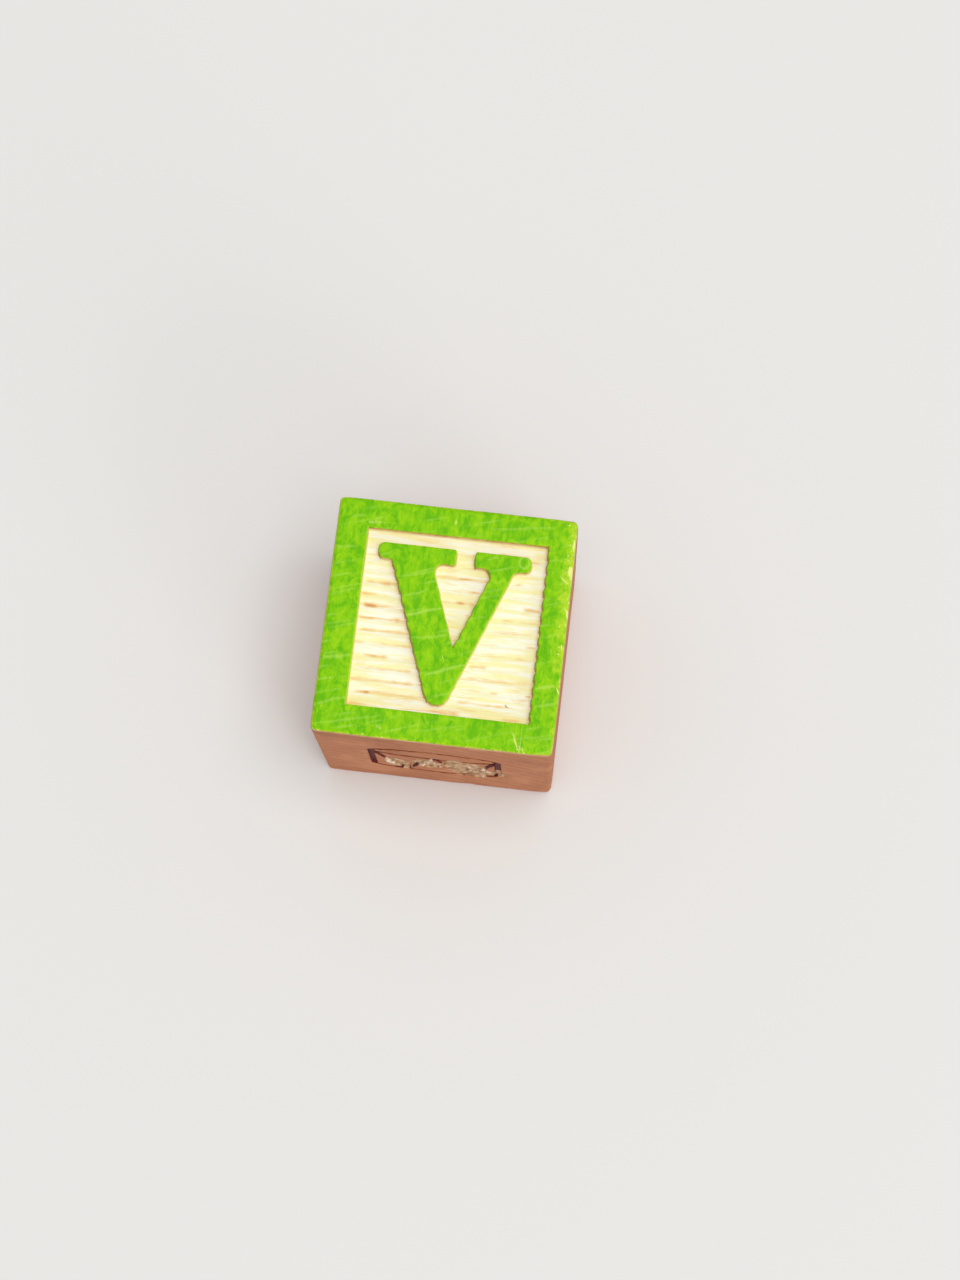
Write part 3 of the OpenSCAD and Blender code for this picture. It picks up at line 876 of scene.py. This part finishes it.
def matched(body, bottom, top):
    """The bottom face's seam in the order of the top's: the same X and Y at the same number."""
    points = np.concatenate(body.points)
    low, high = points[bottom], points[top]
    gaps = ((high[:, None, :2] - low[None, :, :2]) ** 2).sum(axis=2)
    nearest = gaps.argmin(axis=1)
    if len(set(nearest.tolist())) != len(top):
        raise ValueError("the seams of the two painted faces don't match")
    return bottom[nearest]


def bare_side(body, face, outline):
    """One bare side inside its outline, whose points have this side's coordinates meanwhile."""
    keep = {i: body.flat[i] for i in outline.tolist()}
    local = to_face(face, np.concatenate(body.points)[outline])
    body.flat.update(zip(outline.tolist(), local[:, :2].tolist()))
    pictures = picture_loops(face)
    walls = [pressed_wall(body, face, loop, pictures, 121 + k) for k, loop in enumerate(pictures)]
    shoulders, beds = zip(*walls)
    lands = [outline, *shoulders]
    free = clear_of(side_grid(face), body.places(lands), SIDE_MARGIN)
    height, torn = side_height(face, *free.T)
    body.fill(lands, body.add(face, raised(free, height), torn=torn), kind=WOOD_SIDE)
    free = clear_of(flat_grid(BED_STEPS), body.places(beds), BED_MARGIN)
    body.fill(beds, body.add(face, raised(free, press_floor(*free.T)), depth=1.0), kind=WOOD_SIDE)
    body.flat.update(keep)


def press_floor(u, v):
    return PRESS_W + 0.03 * fractal(u * 1.3, v * 1.3, seed=131)


def pressed_wall(body, face, loop, loops, seed):
    """Soft shoulder and wall of a pressed line, which is to the left of its loop. Gives its first
    and its last row."""
    rows = []
    last = len(PRESS_ROWS) - 1
    for k, (shift, height) in enumerate(PRESS_ROWS):
        rough = 0.012 * noise(*(loop * 2).T, k, seed=seed) * (1 < k < last)
        place = moved(loop, shift + rough, loops)
        base, torn = side_height(face, *place.T)
        w = press_floor(*place.T) if height is None else base + height
        rows.append(body.add(face, raised(place, w), torn=torn, depth=k / last))
    body.strips(rows, WOOD_SIDE)
    return rows[0], rows[-1]


# The paint and the ink

def build_border_coat(face):
    coat = Sheet("line", "scratch", "edge", "brown", "tint")
    end = paint_end(face)
    rows = []
    for j in range(ARRIS_ROWS + 1):
        share = j / ARRIS_ROWS
        points = rim_row(end * share, COAT_T * 0.55 * smooth(share, 0.75, 1.0))
        wear = rubbed(points)
        wear = wear + (1.25 - wear) * smooth(share * np.degrees(end), 5, 75)
        rows.append(coat.add_ring(face, points, rim_row(end * share, COAT_UNDER), edge=wear,
                                  **paint_marks(face, points[:, :2])))
    coat.strips(rows, side=-1)
    field = field_loop(face, COAT_FIELD_STEP)
    fill_coat(coat, face, [rows[0], coat_wall(coat, face, field, [field], 1, 141)])
    return coat


def build_glyph_coat(face):
    coat = Sheet("line", "scratch", "edge", "brown", "tint")
    glyphs = [bitten(resampled(loop, COAT_GLYPH_STEP)) for loop in glyph_loops[face]]
    fill_coat(coat, face, [coat_wall(coat, face, glyph, glyphs, -1, 161 + k)
                           for k, glyph in enumerate(glyphs)])
    return coat


def fill_coat(coat, face, loops):
    """The flat of a coat, with points all over it."""
    free = clear_of(flat_grid(COAT_STEPS), coat.places(loops), COAT_MARGIN)
    marks = paint_marks(face, free)
    top = paint_height(*free.T) + 0.004 * marks["line"] - 0.02 * marks["scratch"]
    ids = coat.add(face, raised(free, top), raised(free, -COAT_UNDER), edge=rubbed(free), **marks)
    coat.fill(loops, ids)


def coat_wall(coat, face, loop, loops, side, seed):
    """Edge of a coat, which rolls over the edge of its land and ends raggedly on the wall."""
    # Painted shade where the rim looks left and painted light where it looks right, shown where the coat
    # is worn thin; the coat also reaches further down the walls that look right
    brown, tint = facing(loop, side, -1), facing(loop, side, 1)
    reach = 0.2 + 0.3 * tint + (0.1 + 0.1 * tint) * fractal(*(loop * 0.9).T, seed=seed)
    rows = []
    for k, (shift, height, wear) in enumerate(COAT_ROWS):
        place = moved(loop, side * shift, loops)
        base = -PAINT_DIP if k else paint_height(*place.T)
        w = -COAT_END - np.clip(reach, 0.08, 0.75) if height is None else base + height
        inner = raised(moved(loop, side * min(shift, -0.03), loops), np.minimum(w, -COAT_UNDER))
        bare = smooth(wear, 0.2, 0.7)
        rows.append(coat.add(face, raised(place, w), inner, edge=wear, brown=brown * bare,
                             tint=tint * bare, **paint_marks(face, place)))
    coat.strips(rows, side=side)
    return rows[0]


def build_ink(face):
    ink = Sheet("edge", "torn")
    pictures = picture_loops(face)
    beds = []
    for k, loop in enumerate(pictures):
        climb = np.clip(-0.09 + 0.07 * fractal(*(loop * 1.1).T, seed=171 + k), -0.2, -0.04)
        base, torn = side_height(face, *loop.T)
        foot = press_floor(*moved(loop, INK_ROWS[-1][0], pictures).T) + INK_RISE
        rows = []
        for (shift, behind, thick, wear), w in zip(INK_ROWS, (base + climb, base + INK_WALL_W, foot)):
            under = raised(moved(loop, shift - behind, pictures), w - thick)
            rows.append(ink.add(face, raised(moved(loop, shift, pictures), w), under, edge=wear,
                                torn=torn))
        ink.strips(rows)
        beds.append(rows[-1])
    free = clear_of(flat_grid(BED_STEPS), ink.places(beds), BED_MARGIN)
    w = press_floor(*free.T) + INK_RISE
    _, torn = side_height(face, *free.T)
    ink.fill(beds, ink.add(face, raised(free, w), raised(free, w - INK_T), torn=torn))
    return ink


# Materials

class Graph:
    """The nodes of a material or of the world, and short ways to add them."""

    def __init__(self, owner):
        owner.use_nodes = True
        self.owner, self.tree = owner, owner.node_tree

    def node(self, kind, settings=(), **inputs):
        made = self.tree.nodes.new(kind)
        for key, value in dict(settings).items():
            setattr(made, key, value)
        for key, value in inputs.items():
            self.put(made.inputs[key.replace("_", " ")], value)
        return made

    def put(self, socket, value):
        if isinstance(value, bpy.types.NodeSocket):
            self.tree.links.new(value, socket)
        elif isinstance(value, tuple) and len(value) == 3 and len(socket.default_value) == 4:
            socket.default_value = (*value, 1.0)
        else:
            socket.default_value = value

    def math(self, operation, a, b):
        made = self.node("ShaderNodeMath", {"operation": operation})
        self.put(made.inputs[0], a)
        self.put(made.inputs[1], b)
        return made.outputs[0]

    def times(self, a, b):
        return self.math("MULTIPLY", a, b)

    def total(self, *shares):
        """Sum of values, each times its weight."""
        parts = [self.times(value, weight) if weight != 1 else value for value, weight in shares]
        result = parts[0]
        for part in parts[1:]:
            result = self.math("ADD", result, part)
        return result

    def scaled(self, scale, rotation=(0.0, 0.0, 0.0), shift=(0.0, 0.0, 0.0)):
        """Object coordinates in millimetres, turned, scaled and then shifted."""
        place = self.node("ShaderNodeTexCoord").outputs["Object"]
        for change in ({"Scale": (1 / MM,) * 3}, {"Rotation": rotation},
                       {"Scale": scale, "Location": shift}):
            place = self.node("ShaderNodeMapping", Vector=place, **change).outputs[0]
        return place

    def noise(self, scale, detail=3.0, roughness=0.55, distortion=0.0, shift=(0.0, 0.0, 0.0)):
        return self.node("ShaderNodeTexNoise", Vector=self.scaled(scale, shift=shift), Scale=1.0,
                         Detail=detail, Roughness=roughness, Distortion=distortion).outputs["Fac"]

    def ramp(self, value, low, high, out_low=0.0, out_high=1.0):
        return self.node("ShaderNodeMapRange", {"interpolation_type": "SMOOTHSTEP"}, Value=value,
                         From_Min=low, From_Max=high, To_Min=out_low, To_Max=out_high).outputs[0]

    def mix(self, share, a, b):
        made = self.node("ShaderNodeMix", {"data_type": "RGBA"})
        for key, value in (("Factor", share), ("A", a), ("B", b)):
            self.put(made.inputs[key], value)
        return made.outputs["Result"]

    def over(self, colour, *layers):
        """The colour with layers over it. Each shows where its value runs from one number to the
        next, at most by a share, and has a colour of its own."""
        for value, low, high, most, tone in layers:
            colour = self.mix(self.ramp(value, low, high, 0.0, most), colour, tone)
        return colour

    def attribute(self, name):
        return self.node("ShaderNodeAttribute", {"attribute_name": name}).outputs["Fac"]

    def finish(self, colour, roughness, height=None, distance=0.05, strength=1.0, specular=0.5):
        shader = self.tree.nodes["Principled BSDF"].inputs
        self.put(shader["Base Color"], colour)
        self.put(shader["Roughness"], roughness)
        self.put(shader["Specular IOR Level"], specular)
        if height is not None:
            bump = self.node("ShaderNodeBump", Height=height, Strength=strength, Distance=distance * MM)
            self.put(shader["Normal"], bump.outputs[0])
        return self.owner


def material_graph(name):
    return Graph(bpy.data.materials.new(name))


def rgb(r, g, b):
    """Linear colour of an sRGB one, as 0 to 255."""
    return tuple((c / 255 / 12.92) if c / 255 <= 0.04045 else ((c / 255 + 0.055) / 1.055) ** 2.4
                 for c in (r, g, b))


def paint_material(name, deep, body, light, pale, chip, skirt):
    """Thin toy paint over sanded grain: mottled, streaked along Y, with pale saw lines across."""
    g = material_graph(name)
    cloud = g.noise((0.75, 0.6, 0.7), detail=5.0, roughness=0.62, distortion=1.2)
    band = g.noise((1.0, 0.2, 0.8), roughness=0.6, shift=(3.0, 1.0, 0.0))
    streak = g.noise((2.6, 0.8, 1.0), detail=4.0, roughness=0.65, distortion=0.5)
    fine = g.noise((4.6, 3.0, 3.0), roughness=0.7)
    tone = g.total((cloud, 0.5), (streak, 0.25), (band, 0.25))
    colour = g.mix(g.ramp(tone, 0.41, 0.53), deep, body)
    colour = g.over(colour, (tone, 0.5, 0.62, 1.0, light), (fine, 0.58, 0.76, 0.5, light),
                    (fine, 0.42, 0.26, 0.4, deep))
    # Pale lines left by the saw, a little aslant and broken up
    turned = g.scaled((1.0, 1.0, 1.0), rotation=(0.0, 0.0, math.radians(-17)))
    waves = g.node("ShaderNodeTexWave", {"wave_type": "BANDS", "bands_direction": "Y"}, Vector=turned,
                   Scale=0.2, Distortion=2.6, Detail=2.0, Detail_Scale=0.3).outputs["Fac"]
    broken = g.ramp(g.noise((0.25, 0.4, 0.4), detail=2.0), 0.46, 0.66, 0.0, 0.45)
    faint = g.times(g.ramp(waves, 0.85, 1.0), broken)
    line = g.times(g.attribute("line"), g.ramp(fine, 0.25, 0.6, 0.55, 1.0))
    line = g.math("MAXIMUM", line, faint)
    colour = g.mix(g.times(line, 0.62), colour, pale)
    # Wear: yellow where the paint thins out on the edges, and scratches down to the wood
    edge = g.attribute("edge")
    patchy = g.noise((0.9, 0.9, 0.9), detail=4.0, roughness=0.65)
    thin = g.ramp(g.total((edge, 0.3), (patchy, 1)), 0.58, 0.92)
    colour = g.mix(g.times(thin, g.ramp(fine, 0.3, 0.62, 0.35, 0.9)), colour, skirt)
    scratch = g.times(g.attribute("scratch"), g.ramp(streak, 0.3, 0.6, 0.6, 1.15))
    flake = g.total((edge, 0.13), (g.noise((2.4, 2.0, 2.4)), 1))
    colour = g.over(colour, (scratch, 0.2, 0.75, 1.0, chip), (flake, 0.75, 0.8, 1.0, chip))
    # On the walls: thin, and bright with painted light, where they look right; brown with painted shade,
    # and torn, where they look left
    tint = g.times(g.attribute("tint"), g.ramp(fine, 0.3, 0.6, 0.5, 0.95))
    brown = g.times(g.attribute("brown"), g.ramp(fine, 0.35, 0.6, 0.5, 0.9))
    colour = g.mix(brown, g.mix(tint, colour, skirt), rgb(142, 100, 40))
    height = g.total((streak, 0.7), (fine, 0.5), (line, -0.4))
    return g.finish(colour, g.ramp(fine, 0.3, 0.8, 0.48, 0.66), height, distance=0.06, strength=0.55,
                    specular=0.11)


def side_material():
    """Bare sanded wood: long grain along Y on the left and right, end grain front and back."""
    g = material_graph("bare_wood_sides")
    # Growth rings of a log whose axis lies along Y, far below the block: a slow rise to the dark
    # late wood, then a sharp fall
    log = g.scaled((1.0, 0.05, 1.0), shift=(34.0, 0.0, 52.0))
    kind = {"wave_type": "RINGS", "rings_direction": "Y", "wave_profile": "SAW"}
    ring = g.node("ShaderNodeTexWave", kind, Vector=log, Scale=0.145, Distortion=1.1, Detail=2.0,
                  Detail_Scale=0.12).outputs["Fac"]
    fibre = g.noise((2.6, 0.1, 2.6), detail=4.0, roughness=0.65)
    pore = g.noise((7.0, 0.5, 7.0), roughness=0.75)
    cloud = g.noise((0.16, 0.1, 0.16), detail=4.0, roughness=0.6)
    late = g.times(g.ramp(ring, 0.55, 0.97), g.ramp(fibre, 0.3, 0.6, 0.55, 1.0))
    late = g.times(late, g.ramp(cloud, 0.3, 0.65, 0.2, 0.55))
    # The sides' wood is darker and redder than the fields': partly its own tone, partly painted shade and
    # painted warm reflected light
    colour = g.mix(g.ramp(fibre, 0.32, 0.7), rgb(181, 109, 68), rgb(202, 130, 86))
    colour = g.mix(late, colour, rgb(153, 83, 48))
    colour = g.over(colour, (cloud, 0.48, 0.66, 0.6, rgb(216, 144, 101)),
                    (cloud, 0.46, 0.32, 0.6, rgb(158, 90, 55)), (pore, 0.58, 0.78, 0.45, rgb(142, 78, 47)),
                    (pore, 0.42, 0.28, 0.35, rgb(220, 158, 114)))
    # The pale rounded edge: sanding, with a painted highlight on the right side
    sanded = g.times(g.attribute("sanded"), g.ramp(fibre, 0.3, 0.6, 0.6, 0.95))
    colour = g.mix(sanded, colour, rgb(232, 200, 152))
    # Torn grain
    torn = g.attribute("torn")
    crumbs = g.noise((1.0, 1.0, 0.7), detail=5.0, roughness=0.58, distortion=0.8)
    specks = g.noise((0.9, 0.9, 0.45), roughness=0.6, shift=(7.0, 0.0, 2.0))
    pale = g.mix(g.ramp(crumbs, 0.38, 0.62), rgb(166, 116, 80), rgb(218, 180, 138))
    # Pale and dark specks: the torn fibres' own tone, with painted highlights and painted shade of their
    # crumbly relief
    pale = g.over(pale, (specks, 0.57, 0.68, 1.0, rgb(255, 230, 206)),
                  (specks, 0.44, 0.33, 0.85, rgb(118, 62, 42)))
    colour = g.over(colour, (g.total((torn, 1), (crumbs, 0.3)), 0.3, 0.8, 1.0, pale))
    height = g.total((fibre, 0.6), (pore, 0.5), (g.times(crumbs, torn), 3.5))
    return g.finish(colour, g.ramp(fibre, 0.3, 0.7, 0.52, 0.68), height, distance=0.05, strength=0.5,
                    specular=0.2)


def field_material():
    """Freshly cut pale wood of the fields, with brown torn lines in the grooves, and a scorch mark with
    painted shade beside the walls that look left.
    """
    g = material_graph("bare_wood_fields")
    band = g.noise((0.12, 1.4, 1.0), detail=4.0, roughness=0.6)
    hair = g.noise((0.6, 7.0, 3.0), roughness=0.7)
    ragged = g.total((g.attribute("streak"), 1), (g.ramp(hair, 0.3, 0.7, -0.18, 0.18), 1))
    # A scorch mark with painted shade in it, beside the walls that look left
    scorched = g.total((g.attribute("brown"), 1), (g.ramp(hair, 0.3, 0.7, -0.3, 0.15), 1))
    colour = g.mix(g.ramp(band, 0.4, 0.6), rgb(251, 245, 182), rgb(254, 253, 232))
    colour = g.over(colour, (hair, 0.5, 0.78, 0.42, rgb(249, 230, 150)),
                    (ragged, 0.06, 0.42, 0.8, rgb(244, 212, 142)),
                    (ragged, 0.42, 0.95, 0.9, rgb(216, 144, 86)),
                    (ragged, 0.9, 1.2, 0.4, rgb(184, 104, 60)),
                    (scorched, 0.25, 1.1, 0.8, rgb(166, 110, 54)),
                    (g.attribute("torn"), 0.25, 0.8, 1.0, rgb(134, 122, 44)))
    height = g.total((hair, 0.8), (band, 0.4))
    return g.finish(colour, 0.7, height, distance=0.04, strength=0.4, specular=0.2)


def wall_material():
    """Walls of the fields and of the raised glyphs, orange-brown, with painted light on those that look
    right and painted shade on those that look left.
    """
    g = material_graph("bare_wood_walls")
    burn = g.noise((0.9, 0.9, 0.5), detail=4.0, roughness=0.6)
    lines = g.noise((0.6, 0.6, 7.0))
    colour = g.mix(g.ramp(burn, 0.4, 0.65), rgb(206, 142, 84), rgb(238, 200, 140))
    colour = g.over(colour, (lines, 0.5, 0.75, 0.6, rgb(150, 88, 48)))
    # Painted light: yellow on the walls that look right
    bright = g.mix(g.ramp(lines, 0.4, 0.7), rgb(238, 228, 130), rgb(216, 190, 90))
    colour = g.mix(g.attribute("tint"), colour, bright)
    colour = g.over(colour, (g.attribute("depth"), 0.75, 1.0, 1.0, rgb(246, 226, 170)))
    # Painted shade: brown on the walls that look left
    colour = g.mix(g.times(g.attribute("brown"), 0.7), colour, rgb(172, 114, 60))
    return g.finish(colour, 0.65, lines, distance=0.04, strength=0.4, specular=0.2)


def ink_material():
    """Dark maroon ink in the crushed fibres of the pressed lines."""
    g = material_graph("dark_ink")
    soak = g.noise((1.5, 1.5, 1.5), detail=4.0, roughness=0.65)
    grit = g.noise((8.0, 3.0, 8.0), detail=2.0)
    edge = g.total((soak, 1), (g.attribute("edge"), 0.12))
    torn = g.total((g.attribute("torn"), 1), (soak, 0.4))
    bare = g.mix(g.ramp(soak, 0.4, 0.6), rgb(186, 136, 94), rgb(228, 192, 150))
    colour = g.mix(g.ramp(soak, 0.35, 0.68), rgb(88, 20, 20), rgb(126, 42, 38))
    colour = g.over(colour, (edge, 0.66, 0.82, 0.8, rgb(150, 84, 62)), (torn, 0.4, 0.72, 1.0, bare))
    return g.finish(colour, g.ramp(grit, 0.3, 0.7, 0.55, 0.72), grit, distance=0.05, strength=0.6,
                    specular=0.25)


# The pieces

def dress(piece, slot, *nodes):
    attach(piece, "root")
    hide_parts(*nodes)


green = paint_material("green_paint", deep=rgb(100, 184, 0), body=rgb(132, 202, 0),
                       light=rgb(156, 214, 14), pale=rgb(190, 232, 92), chip=rgb(238, 240, 136),
                       skirt=rgb(196, 226, 48))
red = paint_material("red_paint", deep=rgb(170, 22, 18), body=rgb(196, 34, 26),
                     light=rgb(214, 56, 42), pale=rgb(228, 110, 88), chip=rgb(238, 196, 150),
                     skirt=rgb(226, 120, 80))
dark = ink_material()

dress(build_wood().build("wood_body", [side_material(), field_material(), wall_material()]),
      "bare_wood", "wood_block")
for face, paint, slot in ((TOP, green, "green_paint"), (BOTTOM, red, "red_paint")):
    for build, node in ((build_border_coat, BORDERS[face]), (build_glyph_coat, GLYPHS[face])):
        dress(build(face).build(node.replace("_paint", "_coat"), [paint], shell=True), slot, node)
for face, node in PICTURES.items():
    dress(build_ink(face).build(node.replace("_ink", "_stain"), [dark], shell=True), "dark_ink", node)


# Floor, light and camera

FLOOR_REACH, FLOOR_SIDES = 8000.0, 96
KEY_AT, KEY_SIZE, KEY_STRENGTH = (340, -100, 1980), 1150, 0.53
FILL_AT, FILL_SIZE, FILL_STRENGTH = (1650, -1650, 1090), 1100, 0.13
LAMP_TARGET = (0.0, 0.0, HALF)
WORLD_STRENGTH, BACKDROP_STRENGTH = 0.51, 0.5
# The photograph's view, found from the six corners of the block that it shows: the camera's place,
# its turn about X, Y and Z in degrees, and its lens
CAMERA_AT = (18.53, -66.39, 340.01)
CAMERA_TURN = (12.035, 1.169, 6.719)
LENS, SENSOR = 72.38, 36.0


def stage_floor():
    """Plain pale floor."""
    material = material_graph("floor_grey").finish((0.80, 0.79, 0.77), 0.9, specular=0.1)
    a = np.linspace(0, 2 * math.pi, FLOOR_SIDES, endpoint=False)
    rim_points = np.column_stack([np.cos(a), np.sin(a), 0 * a]) * FLOOR_REACH
    floor = mesh_object("floor", rim_points, [tuple(range(FLOOR_SIDES))], [material])


def lamp(name, place_mm, size_mm, strength):
    """Square soft light whose strength is the light that it throws on the block, squarely."""
    data = bpy.data.lights.new(name, "AREA")
    data.shape, data.size = "SQUARE", size_mm * MM
    away = Vector(place_mm) - Vector(LAMP_TARGET)
    data.energy = strength * (math.pi * away.length * MM) ** 2
    made = linked(name, data)
    made.location = Vector(place_mm) * MM
    made.rotation_euler = away.to_track_quat("Z", "Y").to_euler()


def world_light(strength, seen):
    """Even white light from all round. seen is its strength as a backdrop to the camera."""
    g = Graph(bpy.data.worlds.new("studio"))
    light = g.tree.nodes["Background"]
    g.put(light.inputs["Color"], (1.0, 1.0, 1.0))
    g.put(light.inputs["Strength"], strength)
    backdrop = g.node("ShaderNodeBackground", Color=(1.0, 0.99, 0.97), Strength=seen)
    rays = g.node("ShaderNodeLightPath").outputs
    direct = g.math("MAXIMUM", rays["Is Camera Ray"], rays["Is Transmission Ray"])
    shown = g.node("ShaderNodeMixShader", Fac=direct)
    g.put(shown.inputs[1], light.outputs[0])
    g.put(shown.inputs[2], backdrop.outputs[0])
    g.put(g.tree.nodes["World Output"].inputs["Surface"], shown.outputs[0])
    bpy.context.scene.world = g.owner


def camera():
    data = bpy.data.cameras.new("camera")
    data.sensor_fit, data.sensor_width, data.lens = "AUTO", SENSOR, LENS
    data.clip_start, data.clip_end = 0.01, 10.0
    cam = linked("camera", data)
    cam.location = Vector(CAMERA_AT) * MM
    cam.rotation_euler = [math.radians(angle) for angle in CAMERA_TURN]
    bpy.context.scene.camera = cam


stage_floor()
lamp("key", KEY_AT, KEY_SIZE, KEY_STRENGTH)
lamp("fill", FILL_AT, FILL_SIZE, FILL_STRENGTH)
world_light(WORLD_STRENGTH, BACKDROP_STRENGTH)
camera()
bpy.context.scene.view_settings.view_transform = "Standard"
